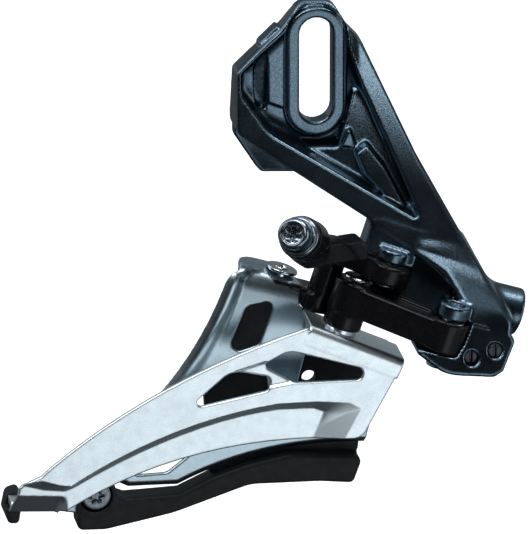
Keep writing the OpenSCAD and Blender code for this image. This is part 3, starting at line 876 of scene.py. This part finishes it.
def make_outer_plate():
    edge = [(-68.0, -88.2), (-66.6, -81.0), (-64.8, -79.4), (-62.0, -78.2)]
    edge += bend((-60.5, -76.8), (-37.8, -58.2), (-5.6, -48.8))
    edge += [on_flange(0.6, 3.0), on_flange(21.6, 3.0), (5.8, -74.2, 3)]
    edge += bend((-4.3, -73.9), (-34.0, -73.0), (-57.5, -87.3)) + [(-57.9, -88.7)]
    front = [(-15.6, -56.6, 1), (-9.6, -53.6, 4), (6.6, -58.8, 1.3), (5.4, -61.0, 1), (-8.6, -60.8, 3)]
    rear = outline([(-31.4, -65.4, 0.9), (-22.0, -57.4, 4), (-13.4, -59.4, 1.2), (-14.0, -62.2, 1)])
    shape = outer_sheet(outline(edge), [outline(front), rear]).join(top_flange(), 0.15)
    tab = [on_flange(0.8, 0.5), on_flange(9.5, 0.5), (4.4, -57.4), (-4.8, -56.4)]
    shape = shape.join(upright(tab, -INNER_OUT - SHEET, -INNER_OUT, 0.2), 0.3)
    # the tail's web runs back to a tab that lies on the inner plate
    tail_web = [(-67.6, -85.8), (-58.2, -86.6), (-58.2, -88.2), (-67.6, -87.4)]
    shape = shape.join(upright(tail_web, -OUTER_OUT + 6.2, -INNER_OUT, 0.3), 0.5)
    tail_tab = [(-65.6, -87.0), (-58.2, -87.6), (-57.6, -83.2), (-62.6, -83.6), (-64.6, -85.4)]
    shape = shape.join(upright(tail_tab, -INNER_OUT - SHEET, -INNER_OUT, 0.3), 0.3)
    sculpt("outer_plate_pressing", "outer_cage_plate", shape, 0.22)


# The inner plate's rim, the top of its neck and its lower edge
INNER_RIM = bend((-57.0, -80.6), (-51.0, -78.4), (-48.0, -76.6), 4)
INNER_RIM += bend((-48.0, -76.6), (-28.5, -62.5), (-20.6, -38.7))
INNER_TOP = [(-18.3, -37.4), (-15.7, -36.0), (-13.2, -36.4), (-5.0, -44.0)]
INNER_LOW = [(9.4, -75.2), *bend((8.4, -79.2), (-14.0, -77.6), (-31.4, -86.2))]
INNER_LOW += [(-42.0, -86.0), (-45.5, -84.2)]
RIM_ROLL, LOW_ROLL = 1.3, 0.8
TAIL_SCREW = (-49.2, -86.7)


def inner_edge():
    edge = [(-65.8, -88.6), (-65.2, -85.6), (-62.6, -83.6), *INNER_RIM, *INNER_TOP, (-5.4, -47.8)]
    edge += [on_flange(0.8, 0.2), on_flange(20.2, 0.2), *INNER_LOW]
    return edge + [(-45.5, -91.0), (-53.0, -91.0)]


def inner_recess(x, z):
    """The inner plate's rim is rolled back, its web is sunk, and its lower edge is rolled back."""
    rim = beside([*INNER_RIM, *INNER_TOP[:3]], x, z)
    low = beside(INNER_LOW[1:], x, z)
    web = (0.35 + 0.0036 * np.maximum(z + 61, 0) ** 2) * smooth(2.4, 4.8, rim) * smooth(-68, -58, z)
    return RIM_ROLL * (1 - smooth(0, 2.0, rim)) + web + LOW_ROLL * (1 - smooth(0, 1.4, low))


def make_inner_plate():
    """One sheet that bends back over the cage and ends in the strap under the inner link."""
    window = [(-20.4, -55.9, 1.5), (-16.6, -47.4, 2), (-10.6, -46.6, 1.2), (-14.2, -56.0, 1.5)]
    window = outline(window + [(-18.4, -57.2, 1)])
    rear = [(-30.2, -69.8, 2), (-21.0, -60.6, 3), (-12.8, -60.2, 2), (-12.0, -68.2, 2)]
    rear = outline(rear + [(-20.0, -71.2, 3)])
    front_hole = outline([(-4.0, -57.6, 1), (9.6, -60.0, 2), (7.4, -67.6, 2), (-6.6, -67.2, 1.5)])
    oval = [(-43.4, -82.6, 1), (-31.4, -77.4, 1.6), (-27.8, -78.6, 1.2), (-33.8, -83.2, 2.5)]
    oval = outline(oval + [(-40.0, -83.3, 1.2)])
    flat = outline(inner_edge())
    plan = outline(
        [(-99, -40), (-99, -15.1), (-5.2, -15.1, 1), (-4.2, -6.7, 4.4), (9.2, -6.7, 4.4), (9.2, -15.1, 1)]
        + [(99, -15.1), (99, -40)]
    )

    def at(x, y, z):
        front = -INNER_OUT + inner_recess(x, z) - y
        body = soft_max(link_h(x, z) + 1.2, front, 5.0)
        shell = np.abs(body + SHEET / 2) - SHEET / 2
        side = within(flat, x, z)
        for hole in (window, rear, front_hole, oval):
            side = soft_max(side, -within(hole, x, z), 0.3)
        return soft_max(shell, soft_max(side, within(plan, link_u(x, z), y), 0.3), 0.35)

    low, high = corners(flat, -INNER_OUT, -6.7, 1)
    x, z = TAIL_SCREW
    shape = Shape(low, high, at).cut(rod((x, -20, z), (x, -10, z), SCREW_R, 0), 0.1)
    sculpt("inner_plate_pressing", "inner_cage_plate", shape, 0.22)


def inner_slot():
    """Where the inner plate passes through the plastic."""
    return upright(inner_edge(), -INNER_OUT - 0.1, -INNER_OUT + SHEET, 0)


def make_skid_plate():
    panel = outline(
        [(-24.6, -84.0), (-25.6, -66.0, 3), (-21.4, -54.0, 2), (-19.4, -46.8, 1), (-15.6, -46.4, 0.8)]
        + [(-15.2, -53.0, 1), (-6.6, -54.4, 2), (9.0, -59.4, 2), (7.2, -80.5), (5.0, -87.0, 2)]
        + [(-1.6, -87.0), (-16.4, -86.5)]
    )
    bar = outline(
        [(-53.2, -89.6, 0.8), (-53.2, -94.2, 1.4), (-47.1, -94.4, 8), (-32.6, -91.6, 30)]
        + [(-16.4, -86.3, 10), (-1.6, -86.6, 20), (5.6, -87.4, 1.2), (7.8, -81.4, 1.5), (-8.0, -80.2)]
        + [(-16.4, -81.8), (-23.6, -84.0), (-31.2, -87.5), (-42.6, -87.8), (-46.0, -86.4)]
    )
    back = -INNER_OUT + SHEET
    hole = rod((-3.4, -20, -64.2), (-3.4, -5, -64.2), 1.5, 0)
    shape = upright(panel, back, back + 3, 0.4).cut(hole, 0.3)
    # a thin wall behind the inner plate's window
    wall = [(-22.4, -57.6), (-19.4, -46.6), (-9.6, -45.4), (-9.4, -50.0), (-12.6, -57.0)]
    shape = shape.join(upright(wall, back, back + 0.45, 0.1), 0.1)
    shape = shape.join(upright(bar, -18.4, back + 3, 0.8), 0.4)
    x, z = TAIL_SCREW
    shape = shape.join(rod((x, -18.4, z), (x, back + 3, z), 4.5, 0.5), 0.6)
    shape = shape.cut(inner_slot(), 0).cut(rod((x, -30, z), (x, -5, z), SCREW_R, 0), 0.1)
    shape = shape.cut(rod((x, -30, z), (x, -INNER_OUT - 0.4, z), 3.5, 0.1), 0.3)
    sculpt("skid_moulding", "skid_plate", shape, 0.25)


def make_bumper():
    """The plastic tip on the inner plate's tail, with its front cut away for the outer plate's tab."""
    edge = [(-68.6, -89.4, 1.5), (-67.8, -85.6, 1.5), (-64.6, -84.6, 1), (-65.6, -91.6, 1)]
    edge = outline(edge + [(-67.8, -91.4, 1)])
    shape = upright(edge, -19.4, -11.6, 1.2).cut(inner_slot(), 0)
    tab_room = [(-70, -87.8), (-50, -89.4), (-50, -70), (-70, -70)]
    shape = shape.cut(upright(tab_room, -40, -INNER_OUT, 0), 0.1)
    sculpt("tail_bumper_moulding", "tail_bumper", shape, 0.18)


# ------------------------------------------------------------- small parts


def upward(low, high, r, soft):
    """A round bar along the z axis."""
    return rod((0, 0, low), (0, 0, high), r, soft)


HEAD_R, CAGE_PIN_BORE = 2.8, 1.72


def make_pins():
    shape = pin(OUTER_FRONT, -7.1, 6.6, BRACKET_PIN, 0.5)
    sculpt("outer_link_pin_turned", "outer_link_pin", shape, 0.14)
    shape = pin(INNER_FRONT, 5.1, 11.4, BRACKET_PIN, 0.5).join(pin(INNER_FRONT, 4.2, 5.1, 2.6, 0.5), 0.1)
    sculpt("inner_link_pin_turned", "inner_link_pin", shape, 0.14)
    shape = pin(OUTER_REAR, -8.9, 4.3, CAGE_PIN, 0.4).join(pin(OUTER_REAR, 4.05, 4.9, HEAD_R, 0.6), 0.1)
    sculpt("outer_cage_pin_turned", "outer_cage_pin", shape, 0.14)
    shape = pin(INNER_REAR, -11.3, -0.2, CAGE_PIN, 0.4)
    shape = shape.join(pin(INNER_REAR, -11.3, -10.3, HEAD_R, 0.5), 0.1)
    shape = shape.cut(pin(INNER_REAR, -0.7, 1, 0.8, 0), 0.4)
    sculpt("inner_cage_pin_turned", "inner_cage_pin", shape, 0.14)
    shape = pin(INNER_REAR, -1.2, -0.4, 3.4, 0.35).cut(pin(INNER_REAR, -2, 1, CAGE_PIN_BORE, 0), 0.1)
    sculpt("inner_pin_washer_turned", "inner_pin_washer", shape, 0.12)


def make_spacer():
    """The collar under the outer link, cut off along the outer plate's flange."""
    shape = pin(OUTER_REAR, -9, -3.3, 3.5, 0.4).cut(pin(OUTER_REAR, -10, 0, CAGE_PIN_BORE, 0), 0.1)
    shape = shape.keep(wholly(lambda x, y, z: 0 * y - above_flange(x, z)), 0.1)
    sculpt("outer_pin_spacer_turned", "outer_pin_spacer", shape, 0.14)


def rivet(x, z, r, head_r, soft):
    """A rivet through the cage's two sheets, with its head outside them."""
    back = SHEET - INNER_OUT
    shank = rod((x, back, z), (x, back - 2.6, z), r, 0.2)
    return shank.join(rod((x, back - 2.4, z), (x, back - 3.1, z), head_r, soft), 0.1)


def make_rivets():
    pair = rivet(-2.6, -53.0, 1.2, 2.1, 0.6).join(rivet(2.0, -55.1, 1.2, 2.1, 0.6), 0)
    sculpt("cage_rivets_set", "cage_rivets", pair, 0.12)
    sculpt("tail_rivet_set", "tail_rivet", rivet(-61.0, -84.9, 0.9, 1.3, 0.5), 0.12)


def star(lobes, r_in, r_out, steps=8):
    """A star-shaped socket's outline."""
    points = []
    for i in range(lobes * steps):
        a = 2 * math.pi * i / (lobes * steps)
        r = (r_in + r_out) / 2 + (r_out - r_in) / 2 * math.cos(lobes * a)
        points.append((r * math.cos(a), r * math.sin(a)))
    return points


def flat_prism(points, low, high):
    """An outline in x and y, solid from low to high along z."""
    middle, half = (low + high) / 2, (high - low) / 2

    def at(x, y, z):
        return soft_max(within(points, x, y), np.abs(z - middle) - half, 0.1)

    return Shape(*corners(points, low, high, 2), at)


def make_cable_bolt():
    """The bolt with its star socket, and the stepped washer under its head."""
    place = (np.array(BOLT_TURN), BOLT_AT)
    shape = upward(-3.2, 7.6, 2.5, 0.3).join(upward(6.9, 10.8, 3.4, 1.3), 0.1)
    shape = shape.cut(upward(10.2, 12, 2.3, 0.2))
    shape = shape.cut(flat_prism(star(6, 1.0, 1.75), 8.6, 12), 0.25)
    sculpt("cable_bolt_turned", "cable_bolt", shape, 0.12, place)
    shape = upward(4.5, 6.2, 4.3, 0.7).join(upward(6.0, 6.9, 3.9, 0.4), 0.05)
    shape = shape.cut(upward(0, 12, 2.52, 0), 0.1)
    sculpt("cable_washer_turned", "cable_washer", shape, 0.12, place)


# Turns a screw's own z to -Y
OUTWARD = np.array(Matrix.Rotation(math.radians(90), 3, "X"))
SCREW_FACE_Y = -35.0
SCREW_LONG = 2.4


def make_screws():
    slot = [(-0.25, -2), (0.25, -2), (0.25, 2), (-0.25, 2)]
    for node, (x, z) in (("low_limit_screw", LOW_SCREW), ("high_limit_screw", HIGH_SCREW)):
        shape = upward(0, SCREW_LONG, SCREW_R, 0.4).cut(flat_prism(slot, 1.6, 6), 0.15)
        place = (OUTWARD, np.array([x, SCREW_FACE_Y + SCREW_LONG, z]))
        sculpt(node + "_turned", node, shape, 0.1, place)
    x, z = TAIL_SCREW
    shape = upward(12.2, 17.0, SCREW_R, 0.2).join(upward(16.8, 18.5, 3.3, 0.9), 0.1)
    shape = shape.cut(flat_prism(star(6, 0.9, 1.7), 17.4, 20), 0.25)
    sculpt("skid_screw_turned", "skid_plate_screw", shape, 0.12, (OUTWARD, np.array([x, 0, z])))


def make_spring():
    """The return spring as a coil of round wire round the outer link's front pin."""
    wire, r, pitch, turns, low = 0.45, 2.74, 1.0, 2.2, 1.5
    sides, per_turn = 12, 40
    rings = int(turns * per_turn) + 1
    points = []
    for i in range(rings):
        a = 2 * math.pi * i / per_turn
        for k in range(sides):
            b = 2 * math.pi * k / sides
            d = r + wire * math.cos(b)
            h = low + pitch * i / per_turn + wire * math.sin(b)
            u, v = OUTER_FRONT[0] + d * math.cos(a), OUTER_FRONT[1] + d * math.sin(a)
            points.append(tuple(c * MM for c in at_link(u, v, h)))
    faces = [tuple(range(sides - 1, -1, -1)), tuple((rings - 1) * sides + k for k in range(sides))]
    for i in range(rings - 1):
        here, there = i * sides, (i + 1) * sides
        for k in range(sides):
            after = (k + 1) % sides
            faces.append((here + k, here + after, there + after, there + k))
    mesh = bpy.data.meshes.new("return_spring_coil")
    mesh.from_pydata(points, [], faces)
    mesh.shade_smooth()
    finish_piece(link(bpy.data.objects.new("return_spring_coil", mesh)), "return_spring")


def dress_bushes():
    """The bushes keep their own solids, with their edges broken."""
    for node, obj in frame["nodes"].items():
        if not obj.hide_render:
            obj.data.materials.clear()
            obj.data.materials.append(MATERIALS[SLOT_OF[node]])
            bevel = obj.modifiers.new("edges", "BEVEL")
            bevel.width, bevel.segments, bevel.limit_method = 0.12 * MM, 2, "ANGLE"


# ------------------------------------------------------------------ stage


def make_stage():
    """A plain pale floor, well below the part."""
    mesh = bpy.data.meshes.new("floor")
    far, low = 6.0, cad_low.z - 0.25
    square = [(-far, -far, low), (far, -far, low), (far, far, low), (-far, far, low)]
    mesh.from_pydata(square, [], [(0, 1, 2, 3)])
    floor = link(bpy.data.objects.new("floor", mesh))
    paint = bpy.data.materials.new("floor")
    paint.use_nodes = True
    shader = paint.node_tree.nodes["Principled BSDF"]
    shader.inputs["Base Color"].default_value = (0.9, 0.9, 0.9, 1)
    shader.inputs["Roughness"].default_value = 0.9
    shader.inputs["Emission Color"].default_value = (1, 1, 1, 1)
    shader.inputs["Emission Strength"].default_value = 0.75
    mesh.materials.append(paint)
    floor.visible_glossy = False


# The brightness of the surroundings at each sine of their height, in front of and behind the part
FRONT_SKY = [(-1.0, 0.03), (-0.65, 0.10), (-0.47, 0.55), (-0.33, 0.98), (-0.20, 0.70), (0.02, 0.07)]
FRONT_SKY += [(0.28, 0.004), (0.60, 0.01), (0.78, 0.25), (1.0, 0.8)]
BACK_SKY = [(-1.0, 0.04), (-0.3, 0.12), (0.0, 0.34), (0.10, 0.34), (0.24, 0.10), (0.6, 0.30)]
BACK_SKY += [(0.8, 0.9), (1.0, 0.9)]
SKY_TINT = (0.86, 0.96, 1.0)


def make_world():
    """Soft studio surroundings: bright low in front and overhead, dark between, darker to the left."""
    world = bpy.data.worlds.new("studio")
    world.use_nodes = True
    nodes, links = world.node_tree.nodes, world.node_tree.links
    place = nodes.new("ShaderNodeTexCoord")
    split = nodes.new("ShaderNodeSeparateXYZ")
    links.new(place.outputs["Generated"], split.inputs["Vector"])
    height = nodes.new("ShaderNodeMapRange")
    height.inputs["From Min"].default_value = -1
    links.new(split.outputs["Z"], height.inputs["Value"])
    colors = []
    for sky in (FRONT_SKY, BACK_SKY):
        ramp = nodes.new("ShaderNodeValToRGB")
        ramp.color_ramp.interpolation = "EASE"
        while len(ramp.color_ramp.elements) < len(sky):
            ramp.color_ramp.elements.new(0.5)
        for element, (z, value) in zip(ramp.color_ramp.elements, sky):
            element.position = (z + 1) / 2
            element.color = (*(value * tint for tint in SKY_TINT), 1)
        links.new(height.outputs["Result"], ramp.inputs["Fac"])
        colors.append(ramp.outputs["Color"])
    fades = {}
    for axis, numbers in (("Y", (-0.5, 0.3, 0, 1)), ("X", (-0.30, 0.06, 0.16, 1))):
        fade = nodes.new("ShaderNodeMapRange")
        fade.interpolation_type = "SMOOTHSTEP"
        for socket, number in zip(("From Min", "From Max", "To Min", "To Max"), numbers):
            fade.inputs[socket].default_value = number
        links.new(split.outputs[axis], fade.inputs["Value"])
        fades[axis] = fade.outputs["Result"]
    shaded = nodes.new("ShaderNodeVectorMath")
    shaded.operation = "SCALE"
    links.new(colors[0], shaded.inputs["Vector"])
    links.new(fades["X"], shaded.inputs["Scale"])
    mix = nodes.new("ShaderNodeMix")
    mix.data_type = "RGBA"
    links.new(fades["Y"], mix.inputs["Factor"])
    links.new(shaded.outputs["Vector"], mix.inputs["A"])
    links.new(colors[1], mix.inputs["B"])
    links.new(mix.outputs["Result"], nodes["Background"].inputs["Color"])
    nodes["Background"].inputs["Strength"].default_value = 1.0
    bpy.context.scene.world = world
    bpy.context.scene.view_settings.view_transform = "Standard"


def make_lights():
    """Each lamp with its azimuth, elevation, distance, size and power."""
    make_light("overhead", -35, 68, 0.9, 0.34, 3.0)
    make_light("high_front", 4, 43, 0.9, 0.30, 1.1)
    make_light("edge_right", 85, 62, 0.9, 0.3, 2.4)
    make_light("edge_left", -62, 48, 0.9, 0.3, 1.6)
    make_light("low_front", 14, -21, 0.5, 0.24, 0.14)
    make_light("right", 75, 5, 0.8, 0.4, 0.7)
    make_light("left_back", -120, 30, 0.9, 0.5, 1.2)


make_camera()
make_world()
make_lights()
make_stage()
make_bracket()
make_outer_link()
make_inner_link()
make_outer_plate()
make_inner_plate()
make_skid_plate()
make_bumper()
make_pins()
make_spacer()
make_rivets()
make_cable_bolt()
make_screws()
make_spring()
dress_bushes()
